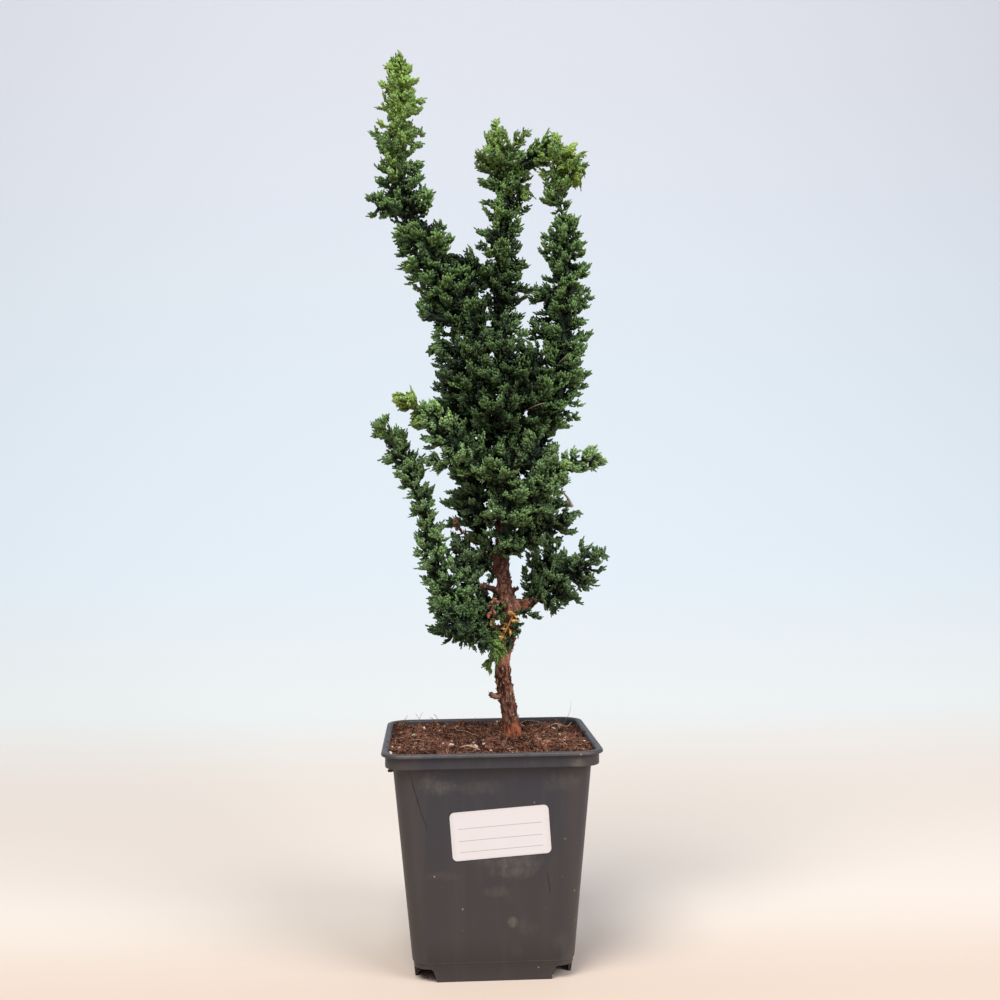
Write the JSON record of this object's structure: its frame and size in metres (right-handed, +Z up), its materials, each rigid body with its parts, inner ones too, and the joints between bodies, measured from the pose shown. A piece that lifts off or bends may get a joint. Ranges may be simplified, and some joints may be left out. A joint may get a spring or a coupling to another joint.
{
  "type": "hinoki cypress bonsai",
  "caption": "Young dwarf hinoki cypress with rope-like twigs in small cupped fans, growing in a square plastic nursery pot",
  "frame": {"origin": "middle of the pot's underside, on the surface that it stands on", "axes": "+Z up along the plant, -Y out of the front wall that carries the label, +X to the right of that wall"},
  "size_m": [0.1049, 0.09, 0.3867],
  "materials": {
    "pot_plastic": "dull dark grey recycled plastic with fine scuffs and dust",
    "growing_mix": "crumbly red-brown peat and bark chips with white perlite grains",
    "bark": "red-brown flaky bark, paler and more orange at the foot",
    "label_paper": "plain white paper sticker, slightly satin",
    "foliage_dark": "older scale leaves, dark green, dull",
    "foliage_mid": "grown scale leaves, mid green, slightly waxy",
    "foliage_young": "young scale leaves, yellow-green, slightly waxy",
    "foliage_dead_yellow": "dry straw-yellow scale leaves, dull",
    "foliage_dead_red": "dry red-brown scale leaves, dull",
    "foliage_dead_brown": "dry brown scale leaves, dull"
  },
  "bodies": {
    "root": {"arch_spray": "foliage_young", "between_spray": "foliage_dark", "bridge_spray": "foliage_dark", "crown_spray_01": "foliage_mid", "crown_spray_02": "foliage_mid", "crown_spray_03": "foliage_dark", "crown_spray_04": "foliage_mid", "crown_spray_05": "foliage_mid", "crown_spray_06": "foliage_dark", "crown_spray_07": "foliage_mid", "crown_spray_08": "foliage_mid", "crown_spray_09": "foliage_dark", "crown_spray_10": "foliage_mid", "crown_spray_11": "foliage_mid", "crown_spray_12": "foliage_dark", "crown_spray_13": "foliage_mid", "crown_spray_14": "foliage_mid", "dead_spray_brown": "foliage_dead_brown", "dead_spray_red": "foliage_dead_red", "dead_spray_yellow": "foliage_dead_yellow", "front_droop_spray": "foliage_mid", "label": "label_paper", "leader_centre": "foliage_mid", "leader_left": "foliage_mid", "leader_right": "foliage_mid", "left_inner_spray": "foliage_dark", "left_mid_spray": "foliage_mid", "low_left_column": "foliage_mid", "low_left_spray_1": "foliage_mid", "low_left_spray_2": "foliage_dark", "low_left_spray_3": "foliage_dark", "low_right_back_spray": "foliage_mid", "low_right_spray": "foliage_dark", "pot": "pot_plastic", "right_tip_spray": "foliage_young", "right_twig_spray": "foliage_dark", "right_upper_spray": "foliage_mid", "side_tuft_spray": "foliage_mid", "soil": "growing_mix", "trunk": "bark"}
  },
  "joints": []
}
